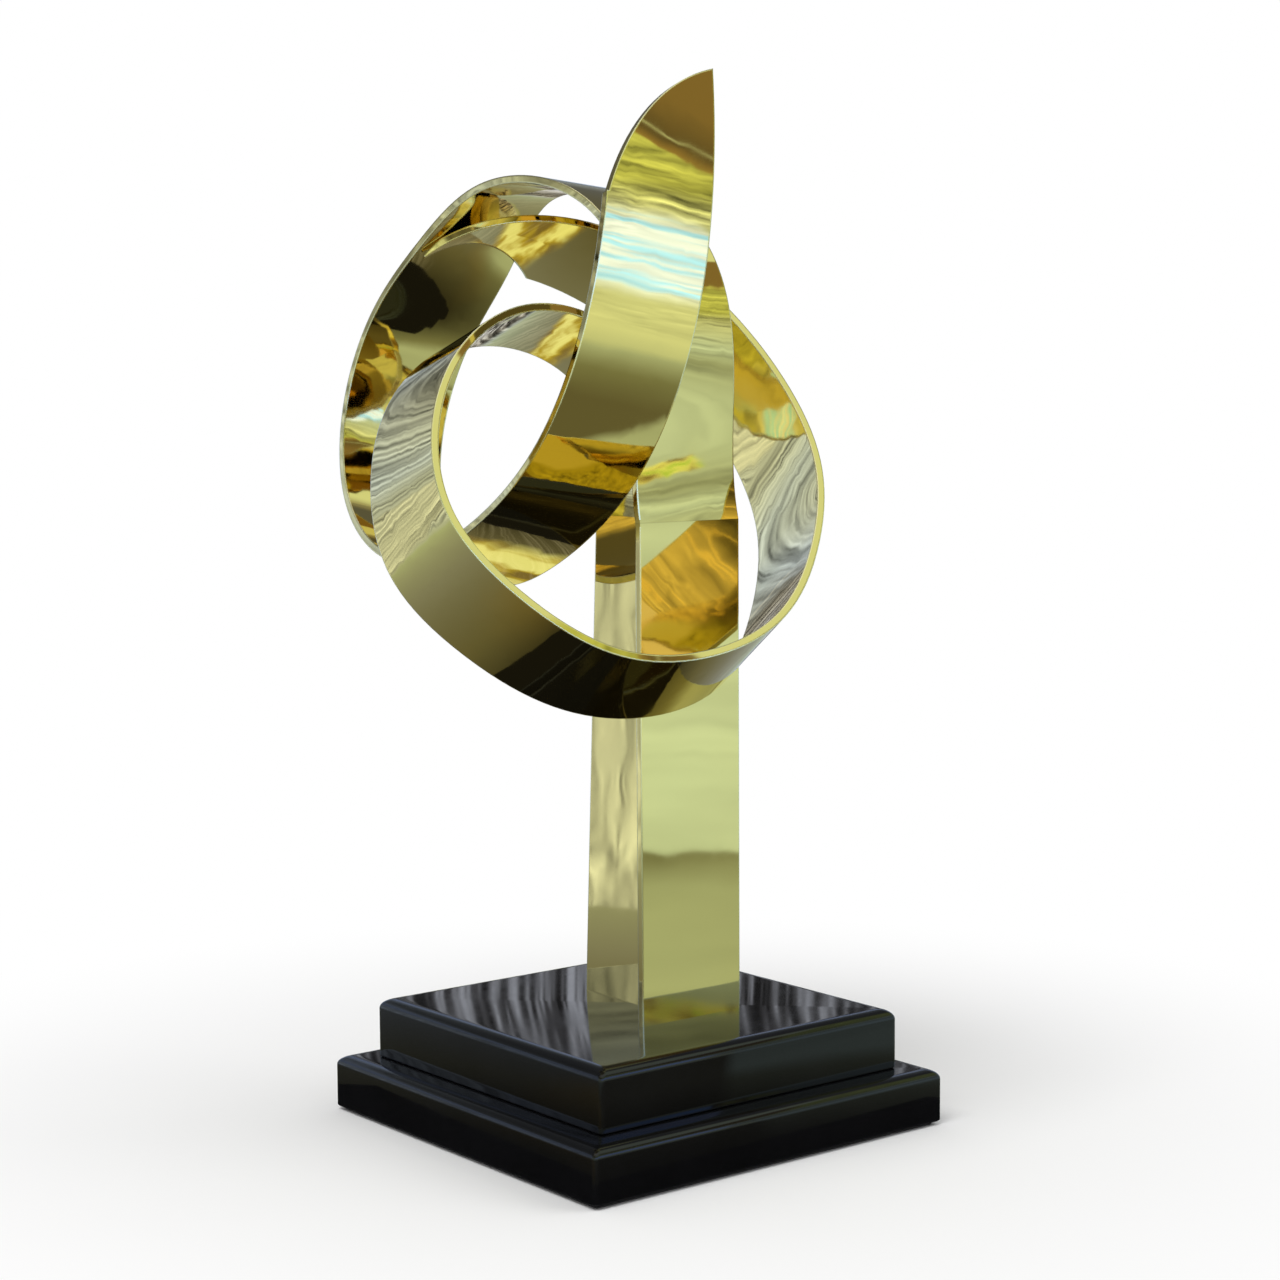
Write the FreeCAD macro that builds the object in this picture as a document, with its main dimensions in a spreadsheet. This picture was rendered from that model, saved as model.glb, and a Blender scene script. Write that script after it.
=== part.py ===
import math
import os

import FreeCAD
import Part

# Brass knot sculpture: two flat bars rise from a two-step black plinth and wind round each other.
# Millimetres, Z up, origin at the middle of the plinth's underside.
# The front bar's face looks along -Y, the side bar's face looks along -X.

os.makedirs("parts", exist_ok=True)
doc = FreeCAD.newDocument("knot_sculpture")
sheet = doc.addObject("Spreadsheet::Sheet", "sizes")

SIZES = [
    # plinth
    ("base_side", 178.0),
    ("lower_top", 23.0),
    ("lower_bevel_height", 3.8),
    ("lower_bevel_width", 5.9),
    ("upper_side", 152.0),
    ("upper_top", 47.6),
    ("upper_bevel_height", 4.1),
    ("upper_bevel_width", 6.0),
    ("felt_thickness", 1.5),
    ("felt_inset", 3.0),
    ("hollow_side", 112.0),
    # brass bar stock
    ("bar_width", 50.3),
    ("bar_thickness", 3.0),
    ("joint_height", 247.0),
    ("leg_foot_height", 7.0),
    # where the two legs stand
    ("front_leg_left", -22.3),
    ("front_leg_face", -33.8),
    ("side_leg_face", -0.7),
    ("side_leg_near", -18.7),
    ("side_leg_lean", 7.1),
    ("slot_clearance", 0.15),
    # ends of the two bars
    ("blade_cut_length", 59.0),
    ("blade_cut_radius", 84.0),
    ("cut_margin", 14.0),
    ("tail_gap", 1.2),
    # angle cleats under the upper step
    ("cleat_width", 40.0),
    ("cleat_thickness", 3.0),
    ("cleat_flange", 16.0),
    ("cleat_drop", 15.0),
    ("bolt_radius", 2.0),
    ("bolt_head_radius", 3.5),
    ("bolt_head_height", 2.6),
    ("bolt_spacing", 24.0),
    ("bolt_height", 14.0),
    ("bolt_end", 1.2),
    ("nut_radius", 4.0),
    ("nut_height", 3.2),
    ("hole_clearance", 0.2),
    # wood screws
    ("cleat_screw_radius", 1.75),
    ("cleat_screw_head_radius", 3.4),
    ("cleat_screw_head_height", 2.2),
    ("cleat_screw_bite", 13.0),
    ("cleat_screw_offset", 9.5),
    ("step_screw_radius", 2.25),
    ("step_screw_head_radius", 4.2),
    ("step_screw_head_height", 2.8),
    ("step_screw_bite", 15.0),
    ("step_screw_offset", 65.0),
    ("step_screw_sink", 8.0),
    ("sink_radius", 5.0),
]

for row, (alias, value) in enumerate(SIZES, start=1):
    sheet.set("A%d" % row, alias)
    sheet.set("B%d" % row, str(value))
    sheet.setAlias("B%d" % row, alias)
doc.recompute()


def size(alias):
    return float(sheet.get(alias))


# Stations of the front bar above its joint: near edge as shares of base_side (across, back, up),
# then the turn and the tilt in degrees of the bar's width.
FRONT_SHARES = [
    (-0.130, -0.190, 1.630, 2, 1),
    (-0.135, -0.190, 1.870, 5, 3),
    (-0.150, -0.115, 2.040, 10, 2),
    (-0.190, 0.085, 2.150, 18, -2),
    (-0.230, 0.285, 2.135, 17, -1),
    (-0.260, 0.465, 2.020, 6, -9),
    (-0.285, 0.625, 1.865, 0, -13),
    (-0.335, 0.690, 1.610, -1, -14),
    (-0.380, 0.595, 1.395, -1, -14),
    (-0.405, 0.370, 1.290, -1, -14),
    (-0.400, 0.110, 1.350, -1, -13),
    (-0.360, -0.110, 1.525, -1, -12),
    (-0.315, -0.230, 1.775, -2, -11),
    (-0.265, -0.260, 2.085, -2, -10),
    (-0.205, -0.200, 2.420, -1, -9),
]

# The front bar's station where the side bar's tail ends against it, counted from the joint.
TAIL_STATION = 6

# Stations of the side bar above its joint, in the same way.
SIDE_SHARES = [
    (0.060, -0.115, 1.570, 88, -1),
    (-0.020, -0.110, 1.730, 90, -5),
    (-0.165, -0.100, 1.835, 91, -11),
    (-0.370, -0.105, 1.860, 91, -17),
    (-0.560, -0.140, 1.770, 90, -22),
    (-0.680, -0.210, 1.610, 87, -25),
    (-0.705, -0.300, 1.430, 86, -27),
    (-0.600, -0.405, 1.260, 85, -27),
    (-0.415, -0.490, 1.140, 84, -28),
    (-0.210, -0.520, 1.125, 84, -32),
    (0.010, -0.505, 1.190, 84, -35),
    (0.185, -0.425, 1.330, 85, -36),
    (0.310, -0.295, 1.520, 84, -37),
    (0.335, -0.130, 1.715, 81, -38),
    (0.265, 0.035, 1.905, 77, -36),
    (0.115, 0.175, 2.040, 72, -31),
    (-0.075, 0.290, 2.080, 69, -22),
    (-0.250, 0.465, 2.000, 66, -18),
]


def bind(piece, links):
    for prop, expression in links.items():
        piece.setExpression(prop, expression.replace("$", "sizes."))


def add_box(name, length, width, height, x, y, z):
    piece = doc.addObject("Part::Box", name)
    bind(piece, {
        "Length": length, "Width": width, "Height": height,
        "Placement.Base.x": x, "Placement.Base.y": y, "Placement.Base.z": z,
    })
    return piece


def add_prism(name, sides, radius, length, x, y, z, axis):
    piece = doc.addObject("Part::Prism", name)
    piece.Polygon = sides
    up = FreeCAD.Vector(0, 0, 1)
    piece.Placement = FreeCAD.Placement(FreeCAD.Vector(), FreeCAD.Rotation(up, axis))
    bind(piece, {
        "Circumradius": radius, "Height": length,
        "Placement.Base.x": x, "Placement.Base.y": y, "Placement.Base.z": z,
    })
    return piece


# Hidden screws, bolts and their holes are many-sided instead of round, to keep the part light.
ROUND_SIDES = 20
HEXAGON = 6


def add_round(name, radius, length, x, y, z, axis):
    return add_prism(name, ROUND_SIDES, radius, length, x, y, z, axis)


def join(name, pieces):
    if len(pieces) == 1:
        return pieces[0]
    union = doc.addObject("Part::MultiFuse", name)
    union.Shapes = pieces
    union.Refine = True
    return union


def cut(name, base, tools):
    result = doc.addObject("Part::Cut", name)
    result.Base = base
    result.Tool = join(name + "_tools", tools)
    return result


def group(name, pieces):
    result = doc.addObject("Part::Compound", name)
    result.Links = pieces
    return result


ALONG_X = FreeCAD.Vector(1, 0, 0)
ALONG_Y = FreeCAD.Vector(0, 1, 0)
UPWARD = FreeCAD.Vector(0, 0, 1)


def stepped_block(name, side, low, top, bevel_height, bevel_width):
    """A square block with a sloping bevel round its top."""
    body = add_box(name + "_body", side, side, "%s - %s - %s" % (top, bevel_height, low),
                   "-%s / 2" % side, "-%s / 2" % side, low)
    bevel = doc.addObject("Part::Wedge", name + "_bevel")
    tip_up = FreeCAD.Rotation(FreeCAD.Vector(1, 0, 0), 90)
    bevel.Placement = FreeCAD.Placement(FreeCAD.Vector(), tip_up)
    bind(bevel, {
        "Xmin": "-%s / 2" % side, "Xmax": "%s / 2" % side,
        "Zmin": "-%s / 2" % side, "Zmax": "%s / 2" % side,
        "Ymin": "0 * %s" % side, "Ymax": bevel_height,
        "X2min": "-%s / 2 + %s" % (side, bevel_width), "X2max": "%s / 2 - %s" % (side, bevel_width),
        "Z2min": "-%s / 2 + %s" % (side, bevel_width), "Z2max": "%s / 2 - %s" % (side, bevel_width),
        "Placement.Base.z": "%s - %s" % (top, bevel_height),
    })
    return join(name + "_block", [body, bevel])


def make_felt():
    side = "$base_side - 2 * $felt_inset"
    corner = "-$base_side / 2 + $felt_inset"
    return add_box("felt_sheet", side, side, "$felt_thickness", corner, corner, "0 * $felt_thickness")


def step_screw_places():
    places = []
    for across in ("$step_screw_offset", "-$step_screw_offset"):
        for back in ("$step_screw_offset", "-$step_screw_offset"):
            places.append((across, back))
    return places


def make_lower_step():
    block = stepped_block("lower", "$base_side", "$felt_thickness", "$lower_top",
                          "$lower_bevel_height", "$lower_bevel_width")
    tools = [add_box("lower_hollow", "$hollow_side", "$hollow_side", "$lower_top",
                     "-$hollow_side / 2", "-$hollow_side / 2", "0 * $lower_top")]
    for number, (x, y) in enumerate(step_screw_places()):
        tools.append(add_round("lower_hole_%d" % number, "$step_screw_radius + $hole_clearance",
                                  "$lower_top", x, y, "$felt_thickness", UPWARD))
        tools.append(add_round("lower_sink_%d" % number, "$sink_radius", "$step_screw_sink",
                                  x, y, "$felt_thickness", UPWARD))
    return cut("lower_step_cut", block, tools)


FRONT_MIDDLE = "($front_leg_left + $bar_width / 2)"
SIDE_MIDDLE = "($side_leg_near + $bar_width / 2)"


def pair(middle):
    return [middle + " - $bolt_spacing / 2", middle + " + $bolt_spacing / 2"]


def cleat_screw_places():
    """Two screws through each cleat's flange into the underside of the upper step."""
    places = []
    for x in pair(FRONT_MIDDLE):
        places.append((x, "$front_leg_face - $cleat_screw_offset"))
    for y in pair(SIDE_MIDDLE):
        places.append(("$side_leg_face + $bar_thickness + $cleat_screw_offset", y))
    return places


def make_upper_step():
    block = stepped_block("upper", "$upper_side", "$lower_top", "$upper_top",
                          "$upper_bevel_height", "$upper_bevel_width")
    slack = "$slot_clearance"
    tools = [
        add_box("front_slot", "$bar_width + 2 * " + slack, "$bar_thickness + 2 * " + slack, "$upper_top",
                "$front_leg_left - " + slack, "$front_leg_face - " + slack, "$lower_top / 2"),
        add_box("side_slot", "$bar_thickness + 2 * " + slack, "$bar_width + 2 * " + slack, "$upper_top",
                "$side_leg_face - " + slack, "$side_leg_near - " + slack, "$lower_top / 2"),
    ]
    for number, (x, y) in enumerate(step_screw_places()):
        tools.append(add_round("upper_pilot_%d" % number, "$step_screw_radius", "$step_screw_bite",
                                  x, y, "$lower_top", UPWARD))
    for number, (x, y) in enumerate(cleat_screw_places()):
        tools.append(add_round("cleat_pilot_%d" % number, "$cleat_screw_radius", "$cleat_screw_bite",
                                  x, y, "$lower_top", UPWARD))
    return cut("upper_step_cut", block, tools)


def make_front_leg():
    bar = add_box("front_leg_bar", "$bar_width", "$bar_thickness", "$joint_height - $leg_foot_height",
                  "$front_leg_left", "$front_leg_face", "$leg_foot_height")
    holes = []
    for number, x in enumerate(pair(FRONT_MIDDLE)):
        holes.append(add_round("front_leg_hole_%d" % number, "$bolt_radius + $hole_clearance",
                                  "3 * $bar_thickness", x, "$front_leg_face - $bar_thickness",
                                  "$bolt_height", ALONG_Y))
    return cut("front_leg_cut", bar, holes)


def make_side_leg():
    """Upright inside the plinth, then leaning a little to the right up to the joint."""
    foot = add_box("side_leg_foot", "$bar_thickness", "$bar_width", "$upper_top - $leg_foot_height",
                   "$side_leg_face", "$side_leg_near", "$leg_foot_height")
    shaft = doc.addObject("Part::Wedge", "side_leg_shaft")
    shaft.Placement = FreeCAD.Placement(FreeCAD.Vector(), FreeCAD.Rotation(FreeCAD.Vector(1, 0, 0), 90))
    bind(shaft, {
        "Xmin": "0 * $bar_width", "Xmax": "$bar_thickness",
        "X2min": "$side_leg_lean", "X2max": "$side_leg_lean + $bar_thickness",
        "Zmin": "0 * $bar_width", "Zmax": "$bar_width",
        "Z2min": "0 * $bar_width", "Z2max": "$bar_width",
        "Ymin": "0 * $bar_width", "Ymax": "$joint_height - $upper_top",
        "Placement.Base.x": "$side_leg_face",
        "Placement.Base.y": "$side_leg_near + $bar_width",
        "Placement.Base.z": "$upper_top",
    })
    bar = join("side_leg_bar", [foot, shaft])
    holes = []
    for number, y in enumerate(pair(SIDE_MIDDLE)):
        holes.append(add_round("side_leg_hole_%d" % number, "$bolt_radius + $hole_clearance",
                                  "3 * $bar_thickness", "$side_leg_face - $bar_thickness", y,
                                  "$bolt_height", ALONG_X))
    return cut("side_leg_cut", bar, holes)


def make_front_cleat():
    """Lies against the front leg's face, its flange under the upper step."""
    left = FRONT_MIDDLE + " - $cleat_width / 2"
    web = add_box("front_cleat_web", "$cleat_width", "$cleat_thickness", "$cleat_drop",
                  left, "$front_leg_face - $cleat_thickness", "$lower_top - $cleat_drop")
    flange = add_box("front_cleat_flange", "$cleat_width", "$cleat_flange", "$cleat_thickness",
                     left, "$front_leg_face - $cleat_flange", "$lower_top - $cleat_thickness")
    holes = []
    for number, x in enumerate(pair(FRONT_MIDDLE)):
        holes.append(add_round("front_cleat_hole_%d" % number, "$bolt_radius + $hole_clearance",
                                  "3 * $cleat_thickness", x, "$front_leg_face - 2 * $cleat_thickness",
                                  "$bolt_height", ALONG_Y))
        holes.append(add_round("front_cleat_eye_%d" % number, "$cleat_screw_radius + $hole_clearance",
                                  "3 * $cleat_thickness", x, "$front_leg_face - $cleat_screw_offset",
                                  "$lower_top - 2 * $cleat_thickness", UPWARD))
    return cut("front_cleat_cut", join("front_cleat_angle", [web, flange]), holes)


def make_side_cleat():
    """Lies against the side leg's right face, its flange under the upper step."""
    near = SIDE_MIDDLE + " - $cleat_width / 2"
    face = "$side_leg_face + $bar_thickness"
    web = add_box("side_cleat_web", "$cleat_thickness", "$cleat_width", "$cleat_drop",
                  face, near, "$lower_top - $cleat_drop")
    flange = add_box("side_cleat_flange", "$cleat_flange", "$cleat_width", "$cleat_thickness",
                     face, near, "$lower_top - $cleat_thickness")
    holes = []
    for number, y in enumerate(pair(SIDE_MIDDLE)):
        holes.append(add_round("side_cleat_hole_%d" % number, "$bolt_radius + $hole_clearance",
                                  "3 * $cleat_thickness", face + " - $cleat_thickness", y,
                                  "$bolt_height", ALONG_X))
        holes.append(add_round("side_cleat_eye_%d" % number, "$cleat_screw_radius + $hole_clearance",
                                  "3 * $cleat_thickness", face + " + $cleat_screw_offset", y,
                                  "$lower_top - 2 * $cleat_thickness", UPWARD))
    return cut("side_cleat_cut", join("side_cleat_angle", [web, flange]), holes)


SHANK = "$cleat_thickness + $bar_thickness + $nut_height + $bolt_end"


def make_bolts():
    """Round heads on the cleats, shanks through cleat, leg and nut."""
    bolts = []
    for number, x in enumerate(pair(FRONT_MIDDLE)):
        face = "$front_leg_face - $cleat_thickness"
        head = add_round("front_bolt_head_%d" % number, "$bolt_head_radius", "$bolt_head_height",
                            x, face + " - $bolt_head_height", "$bolt_height", ALONG_Y)
        shank = add_round("front_bolt_shank_%d" % number, "$bolt_radius", SHANK,
                             x, face, "$bolt_height", ALONG_Y)
        bolts.append(join("front_bolt_%d" % number, [head, shank]))
    for number, y in enumerate(pair(SIDE_MIDDLE)):
        face = "$side_leg_face + $bar_thickness + $cleat_thickness"
        head = add_round("side_bolt_head_%d" % number, "$bolt_head_radius", "$bolt_head_height",
                            face, y, "$bolt_height", ALONG_X)
        shank = add_round("side_bolt_shank_%d" % number, "$bolt_radius", SHANK,
                             face + " - (" + SHANK + ")", y, "$bolt_height", ALONG_X)
        bolts.append(join("side_bolt_%d" % number, [head, shank]))
    return group("cleat_bolt_group", bolts)


def make_nuts():
    nuts = []
    for number, x in enumerate(pair(FRONT_MIDDLE)):
        face = "$front_leg_face + $bar_thickness"
        blank = add_prism("front_nut_blank_%d" % number, HEXAGON, "$nut_radius", "$nut_height",
                          x, face, "$bolt_height", ALONG_Y)
        bore = add_round("front_nut_bore_%d" % number, "$bolt_radius", "3 * $nut_height",
                            x, face + " - $nut_height", "$bolt_height", ALONG_Y)
        nuts.append(cut("front_nut_%d" % number, blank, [bore]))
    for number, y in enumerate(pair(SIDE_MIDDLE)):
        face = "$side_leg_face - $nut_height"
        blank = add_prism("side_nut_blank_%d" % number, HEXAGON, "$nut_radius", "$nut_height",
                          face, y, "$bolt_height", ALONG_X)
        bore = add_round("side_nut_bore_%d" % number, "$bolt_radius", "3 * $nut_height",
                            face + " - $nut_height", y, "$bolt_height", ALONG_X)
        nuts.append(cut("side_nut_%d" % number, blank, [bore]))
    return group("cleat_nut_group", nuts)


def make_cleat_screws():
    screws = []
    under = "$lower_top - $cleat_thickness"
    for number, (x, y) in enumerate(cleat_screw_places()):
        head = add_round("cleat_screw_head_%d" % number, "$cleat_screw_head_radius",
                            "$cleat_screw_head_height", x, y, under + " - $cleat_screw_head_height", UPWARD)
        shank = add_round("cleat_screw_shank_%d" % number, "$cleat_screw_radius",
                             "$cleat_thickness + $cleat_screw_bite", x, y, under, UPWARD)
        screws.append(join("cleat_screw_%d" % number, [head, shank]))
    return group("cleat_screw_group", screws)


def make_step_screws():
    screws = []
    seat = "$felt_thickness + $step_screw_sink"
    for number, (x, y) in enumerate(step_screw_places()):
        head = add_round("step_screw_head_%d" % number, "$step_screw_head_radius",
                            "$step_screw_head_height", x, y, seat + " - $step_screw_head_height", UPWARD)
        shank = add_round("step_screw_shank_%d" % number, "$step_screw_radius",
                             "$lower_top - $felt_thickness - $step_screw_sink + $step_screw_bite",
                             x, y, seat, UPWARD)
        screws.append(join("step_screw_%d" % number, [head, shank]))
    return group("step_screw_group", screws)


def width_direction(turn, tilt):
    turn = math.radians(turn)
    tilt = math.radians(tilt)
    return FreeCAD.Vector(math.cos(tilt) * math.cos(turn), math.cos(tilt) * math.sin(turn), math.sin(tilt))


def spline(points, places):
    curve = Part.BSplineCurve()
    curve.interpolate(Points=points, Parameters=places)
    return curve


def bent_bar(first_edge, first_width, first_inward, shares):
    """A flat bar wound through the stations, with its outer face on them.

    Gives the solid, and each station's near corner, width direction and inward direction.
    """
    width = size("bar_width")
    thickness = size("bar_thickness")
    unit = size("base_side")
    near = [first_edge]
    wide = [first_width]
    for across, back, up, turn, tilt in shares:
        near.append(FreeCAD.Vector(across, back, up) * unit)
        wide.append(width_direction(turn, tilt))
    far = [point + direction * width for point, direction in zip(near, wide)]
    places = [0.0]
    for index in range(1, len(near)):
        step = (near[index] + far[index] - near[index - 1] - far[index - 1]).Length / 2
        places.append(places[-1] + step)
    near_curve = spline(near, places)
    far_curve = spline(far, places)
    inward = []
    for index, place in enumerate(places):
        run = near_curve.getD1(place)[1] + far_curve.getD1(place)[1]
        normal = run.cross(wide[index])
        normal.normalize()
        inward.append(normal)
    inward[0] = first_inward
    near_inside = [point + normal * thickness for point, normal in zip(near, inward)]
    far_inside = [point + normal * thickness for point, normal in zip(far, inward)]
    curves = [near_curve, far_curve, spline(far_inside, places), spline(near_inside, places)]
    edges = [curve.toShape() for curve in curves]
    faces = []
    for index in range(len(edges)):
        faces.append(Part.makeRuledSurface(edges[index], edges[(index + 1) % len(edges)]))
    for index in (0, -1):
        corners = [near[index], far[index], far_inside[index], near_inside[index], near[index]]
        faces.append(Part.Face(Part.makePolygon(corners)))
    shell = Part.makeShell(faces)
    shell.sewShape()
    solid = Part.makeSolid(shell)
    if solid.Volume < 0:
        solid.reverse()
    return solid, list(zip(near, wide, inward))


def blade_waste(frame):
    """The waste beyond the curved cut that leaves the blade's point at its far edge."""
    corner, wide, inward = frame
    run = wide.cross(inward)
    width = size("bar_width")
    margin = size("cut_margin")
    radius = size("blade_cut_radius")
    cut_length = size("blade_cut_length")

    def place(across, along):
        return corner + wide * across + run * along - inward * margin

    chord = math.hypot(width, cut_length)
    bulge = radius - math.sqrt(radius ** 2 - chord ** 2 / 4)
    start = place(0, -cut_length)
    tip = place(width, 0)
    middle = place(width / 2 - bulge * cut_length / chord, -cut_length / 2 + bulge * width / chord)
    beyond = place(width + margin, margin)
    beside = place(-margin, margin)
    below = place(-margin, -cut_length)
    edges = [Part.Arc(start, middle, tip).toShape()]
    for first, second in ((tip, beyond), (beyond, beside), (beside, below), (below, start)):
        edges.append(Part.LineSegment(first, second).toShape())
    face = Part.Face(Part.Wire(edges))
    return face.extrude(inward * (2 * margin + size("bar_thickness")))


def tail_waste(frame):
    """The waste behind the loop's inner face, where the tail is mitred to lie along it."""
    corner, wide, inward = frame
    run = wide.cross(inward)
    width = size("bar_width")
    middle = corner + inward * (size("bar_thickness") + size("tail_gap")) + wide * (width / 2)
    corners = []
    for across, along in ((-2, -2), (2, -2), (2, 2), (-2, 2), (-2, -2)):
        corners.append(middle + (wide * across + run * along) * width)
    return Part.Face(Part.makePolygon(corners)).extrude(inward * -2 * width)


def add_shape(name, shape):
    piece = doc.addObject("Part::Feature", name)
    piece.Shape = shape
    return piece


def front_bar():
    edge = FreeCAD.Vector(size("front_leg_left"), size("front_leg_face"), size("joint_height"))
    return bent_bar(edge, ALONG_X, ALONG_Y, FRONT_SHARES)


def make_front_loop():
    """From the front leg's joint over the top, down the back, under and up again to the blade's point."""
    solid, frames = front_bar()
    return add_shape("front_loop_bar", solid.cut(blade_waste(frames[-1])))


def make_side_ring():
    """From the side leg's joint to the left, once round and up over itself to the front loop's inside."""
    right_face = size("side_leg_face") + size("side_leg_lean") + size("bar_thickness")
    edge = FreeCAD.Vector(right_face, size("side_leg_near"), size("joint_height"))
    solid, frames = bent_bar(edge, ALONG_Y, ALONG_X * -1, SIDE_SHARES)
    loop_frames = front_bar()[1]
    return add_shape("side_ring_bar", solid.cut(tail_waste(loop_frames[TAIL_STATION])))


NODES = [
    ("base_felt", make_felt),
    ("plinth_lower_step", make_lower_step),
    ("plinth_upper_step", make_upper_step),
    ("front_leg", make_front_leg),
    ("side_leg", make_side_leg),
    ("front_loop", make_front_loop),
    ("side_ring", make_side_ring),
    ("front_cleat", make_front_cleat),
    ("side_cleat", make_side_cleat),
    ("cleat_bolts", make_bolts),
    ("cleat_nuts", make_nuts),
    ("cleat_screws", make_cleat_screws),
    ("step_screws", make_step_screws),
]

finished = []
for node, make in NODES:
    piece = make()
    piece.Label = node
    finished.append((node, piece))
doc.recompute()

for item in doc.Objects:
    if "Invalid" in item.State or "Error" in item.State:
        raise RuntimeError("%s did not build" % item.Name)
for node, piece in finished:
    shape = piece.Shape
    if shape.isNull() or not shape.isValid() or not shape.Solids:
        raise RuntimeError("%s has no valid solid" % node)
    shape.exportStep("parts/%s.step" % node)
    box = shape.BoundBox
    print(node, len(shape.Solids), "solids", round(shape.Volume), "mm3",
          [round(v, 1) for v in (box.XMin, box.XMax, box.YMin, box.YMax, box.ZMin, box.ZMax)])
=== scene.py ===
import math

import bpy
from mathutils import Matrix, Vector


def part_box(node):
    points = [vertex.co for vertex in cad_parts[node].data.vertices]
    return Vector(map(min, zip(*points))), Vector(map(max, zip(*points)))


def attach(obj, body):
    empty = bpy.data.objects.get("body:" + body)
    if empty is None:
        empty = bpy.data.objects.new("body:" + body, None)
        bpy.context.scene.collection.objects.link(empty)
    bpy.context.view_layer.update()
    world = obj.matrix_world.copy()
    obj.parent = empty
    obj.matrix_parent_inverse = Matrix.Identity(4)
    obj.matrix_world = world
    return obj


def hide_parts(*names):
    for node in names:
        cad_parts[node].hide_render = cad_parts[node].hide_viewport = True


# Brass knot sculpture on a gloss black plinth: materials, soft studio and the photograph's view.
# Metres, in the frame of the CAD model. Noise scales are per metre.

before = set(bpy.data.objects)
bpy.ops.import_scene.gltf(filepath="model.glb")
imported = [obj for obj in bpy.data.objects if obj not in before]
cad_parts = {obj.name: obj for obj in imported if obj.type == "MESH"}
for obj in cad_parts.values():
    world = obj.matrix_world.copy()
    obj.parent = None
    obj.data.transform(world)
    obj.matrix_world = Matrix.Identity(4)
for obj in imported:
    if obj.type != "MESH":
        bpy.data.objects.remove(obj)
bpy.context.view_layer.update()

# camera, found from the plinth's perspective
CAMERA_PLACE = Vector((-0.6517, -0.8263, 0.3013))
CAMERA_YAW = math.radians(51.56)
CAMERA_PITCH = math.radians(-5.63)
CAMERA_ROLL = math.radians(-0.35)
CAMERA_LENS = 73.37
SENSOR_WIDTH = 36.0

# floor: it takes the shadow up to the near distance and is plain white from the far one
FLOOR_RADIUS = 6.0
FLOOR_SIDES = 128
FLOOR_NEAR = 0.12
FLOOR_FAR = 0.42
FLOOR_GREY = 0.90

# strength of the white world and floor as light, where 1 is what the camera sees
LIGHT_SHARE = 0.55

# lamps: places, size of side and watts
LAMP_TARGET = (0.0, 0.0, 0.2)
KEY_PLACE = (-1.2, -0.4, 1.9)
KEY_SIZE = 1.2
KEY_POWER = 24.0
FILL_PLACE = (1.3, -1.3, 1.5)
FILL_SIZE = 1.4
FILL_POWER = 12.0

# groups of CAD nodes by material
BRASS_NODES = ["front_leg", "side_leg", "front_loop", "side_ring"]
LACQUER_NODES = ["plinth_lower_step", "plinth_upper_step"]
FELT_NODES = ["base_felt"]
STEEL_NODES = ["front_cleat", "side_cleat", "cleat_bolts", "cleat_nuts", "cleat_screws", "step_screws"]

# The blade is brought toward the camera by this share of its distance, to pass clear of the front bar.
# By height less depth, the shift starts at the loop's bottom and is whole where the blade passes the bar.
BLADE_SHIFT = 0.0165
SHIFT_START = 0.168
SHIFT_WHOLE = 0.280
SHIFT_CLIMB = Vector((0.0, -1.0, 1.0))

# rounding of the plinth's steps: width and height of the top rounding, foot rounding, corner radius
TOP_ROUNDING = {"plinth_lower_step": (0.0059, 0.0038), "plinth_upper_step": (0.0060, 0.0041)}
FOOT_ROUNDING = 0.0006
CORNER_RADIUS = 0.0020
CORNER_POINTS = 6
ROUNDING_POINTS = 8
QUARTER_TURN = math.radians(90.0)
SHARP_ANGLE = math.radians(35.0)

# softened edges of brass and lacquer: radius, rays, and the cosines between the softened and the
# true normal where the edge's look begins and is whole
EDGE_RADIUS = 0.0009
EDGE_SAMPLES = 6
EDGE_FACING = (0.995, 0.90)

# line of the soldered joints: its height, its half width and that of the zone round it, and how far
# the legs reach from the middle along X
JOINT_HEIGHT = 0.247
JOINT_LINE = 0.00025
JOINT_REACH = 0.0014
LEG_REACH = 0.031

# look of the brass
BRASS_PALE = (0.84, 0.70, 0.29)
BRASS_DEEP = (0.79, 0.62, 0.23)
# painted highlight: the pale colour below is painted along the brass edges
BRASS_EDGE_HIGHLIGHT = (0.93, 0.88, 0.58)
BRASS_JOINT = (0.20, 0.15, 0.06)
JOINT_SHARE = 0.15
TINT_SCALE = 9.0
SMUDGE_SCALE = 38.0
SMUDGES = (0.35, 0.75)
BRASS_ROUGHNESS = (0.02, 0.07)
EDGE_ROUGHNESS = 0.16
WAVE_SCALE = 14.0
MARK_STRETCH = (900.0, 900.0, 60.0)
MARK_HEIGHT = 0.001
BRASS_BUMP = 0.35
BRASS_BUMP_DEPTH = 0.0008

# look of the black lacquer
LACQUER_DARK = (0.002, 0.002, 0.002)
LACQUER_DUST = (0.006, 0.006, 0.007)
# painted highlight: the lighter colour below is painted along the lacquer's edges, with its share
LACQUER_EDGE_HIGHLIGHT = (0.06, 0.06, 0.065)
LACQUER_HIGHLIGHT_SHARE = 0.5
CLOUD_SCALE = 26.0
CLOUDS = (0.3, 0.75)
CLOUD_HEIGHT = 0.5
GRAIN_STRETCH = (30.0, 420.0, 30.0)
GRAIN_HEIGHT = 0.3
LACQUER_ROUGHNESS = (0.02, 0.10)
LACQUER_SPECULAR = 0.36
LACQUER_BUMP = 0.03
LACQUER_BUMP_DEPTH = 0.0002

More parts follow.
